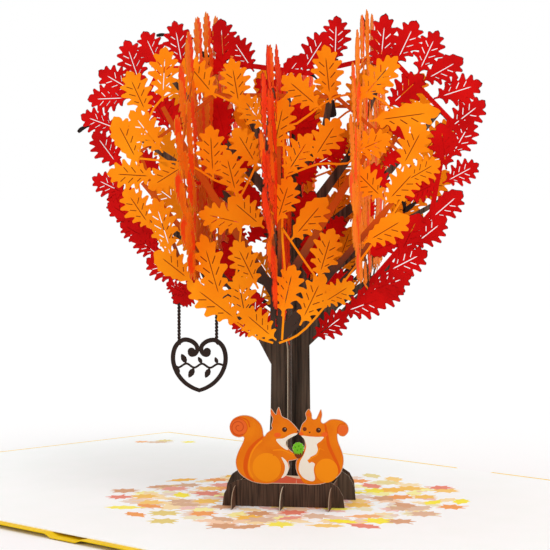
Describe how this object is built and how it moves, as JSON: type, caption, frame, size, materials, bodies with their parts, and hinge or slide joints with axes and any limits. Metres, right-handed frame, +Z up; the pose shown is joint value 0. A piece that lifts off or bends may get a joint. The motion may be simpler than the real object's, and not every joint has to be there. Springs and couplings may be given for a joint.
{
  "type": "pop up card",
  "caption": "Folded greeting card lying open, with a standing autumn oak tree of crossing slotted paper sheets, a heart-shaped crown of leaves, a hanging sign and squirrels at the foot",
  "frame": {"origin": "bottom centre of the open card, on its fold, at the table", "axes": "X across the open card from the left panel to the right one, Y along the fold, Z up"},
  "size_m": [0.356, 0.203, 0.1711],
  "materials": {
    "cover_yellow": "matte yellow card",
    "liner_white": "smooth white paper with a pale print of fallen leaves",
    "trunk_brown": "matte dark brown paper with printed bark",
    "leaves_red": "matte red paper",
    "leaves_scarlet": "matte red-orange paper",
    "leaves_orange": "matte orange paper",
    "squirrel_orange": "printed paper",
    "sign_brown": "matte dark brown paper"
  },
  "bodies": {
    "root": {"outer_cover": "cover_yellow", "liner": "liner_white", "trunk_sheet": "trunk_brown", "cross_trunk_sheet": "trunk_brown", "front_branch_sheet": "trunk_brown", "back_branch_sheet": "trunk_brown", "left_branch_sheet": "trunk_brown", "right_branch_sheet": "trunk_brown", "front_root_sheet": "trunk_brown", "back_root_sheet": "trunk_brown", "left_root_sheet": "trunk_brown", "right_root_sheet": "trunk_brown", "middle_leaf_sheet": "leaves_red", "cross_leaf_sheet": "leaves_scarlet", "front_leaf_sheet": "leaves_orange", "back_leaf_sheet": "leaves_orange", "left_leaf_sheet": "leaves_orange", "right_leaf_sheet": "leaves_orange", "squirrel_sheet": "squirrel_orange", "hanging_sign": "sign_brown"}
  },
  "joints": []
}
